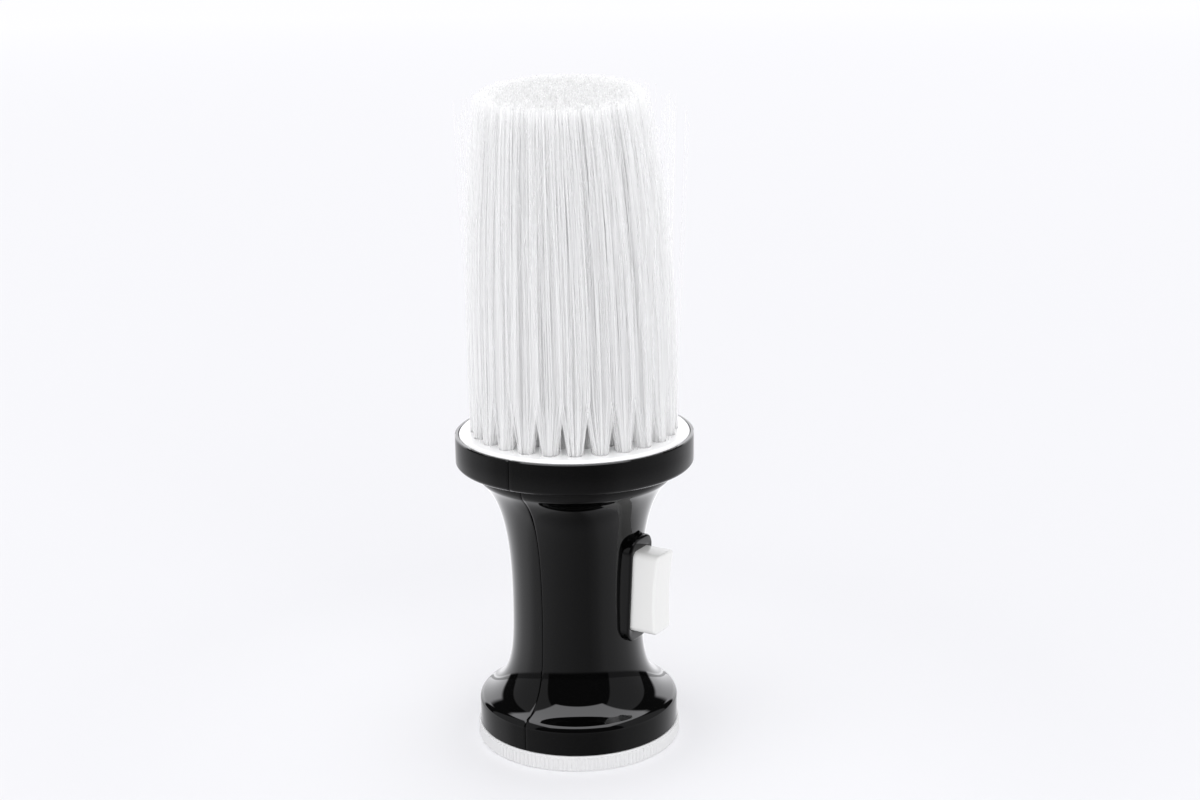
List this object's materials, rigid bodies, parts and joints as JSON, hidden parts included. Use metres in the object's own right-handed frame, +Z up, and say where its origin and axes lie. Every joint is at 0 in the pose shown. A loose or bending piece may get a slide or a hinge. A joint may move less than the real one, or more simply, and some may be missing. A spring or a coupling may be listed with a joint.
{
  "type": "neck duster brush with powder dispenser",
  "caption": "Standing neck duster: round soft white bristle brush on a black waisted handle with a powder pump button on its side and a ribbed screw cap under its base.",
  "frame": {"origin": "centre of the screw cap's flat underside, on the handle's axis", "axes": "+Z up the handle's axis to the bristle tips, +X out of the push button, the handle's parting plane is x = 0"},
  "size_m": [0.065, 0.065, 0.1822],
  "materials": {
    "black_abs": "moulded, high gloss black",
    "white_abs": "moulded, satin to gloss white",
    "cap_polypropylene": "moulded, satin white, fine ribs",
    "white_polypropylene": "moulded, natural milky white",
    "white_nylon": "moulded, plain",
    "nylon_bristle": "drawn nylon filaments, translucent white",
    "grey_rubber": "moulded silicone rubber, matt",
    "spring_steel": "drawn wire, bright"
  },
  "bodies": {
    "handle": {"handle_half_front": "black_abs", "handle_half_rear": "black_abs", "button_frame": "black_abs", "locating_pins": "white_nylon", "button_spring": "spring_steel", "bellows": "grey_rubber", "bellows_seat": "white_nylon", "inlet_flap": "grey_rubber", "outlet_flap": "grey_rubber", "canister_lid": "white_polypropylene", "powder_canister": "white_polypropylene", "air_dip_tube": "white_polypropylene", "powder_tube_lower": "white_polypropylene", "powder_tube_bend": "white_polypropylene", "powder_tube_upper": "white_polypropylene", "powder_nozzle": "white_abs", "tuft_plate": "white_abs", "tuft_anchors": "spring_steel", "bristles_outer": "nylon_bristle", "bristles_second": "nylon_bristle", "bristles_third": "nylon_bristle", "bristles_inner": "nylon_bristle"},
    "cap_carriage": {"cap_seal": "grey_rubber"},
    "cap": {"bottom_cap": "cap_polypropylene"},
    "button": {"push_button": "white_abs", "button_plunger": "white_nylon"}
  },
  "joints": [
    {"name": "button_press", "type": "slide", "parent": "handle", "child": "button", "axis": [-1, 0, 0], "range_m": [0, 0.0055], "stiffness_N_per_m": 300, "springref_m": -0.003, "deforming": ["bellows", "button_spring"]},
    {"name": "cap_travel", "type": "slide", "parent": "handle", "child": "cap_carriage", "axis": [0, 0, -1], "range_m": [0, 0.006]},
    {"name": "cap_unscrew", "type": "hinge", "parent": "cap_carriage", "child": "cap", "pos_m": [0, 0, 0], "axis": [0, 0, -1], "range_deg": [0, 720]}
  ],
  "couplings": [
    {"joint": "cap_travel", "follows": "cap_unscrew", "m_per_rad": 0.00047746}
  ]
}
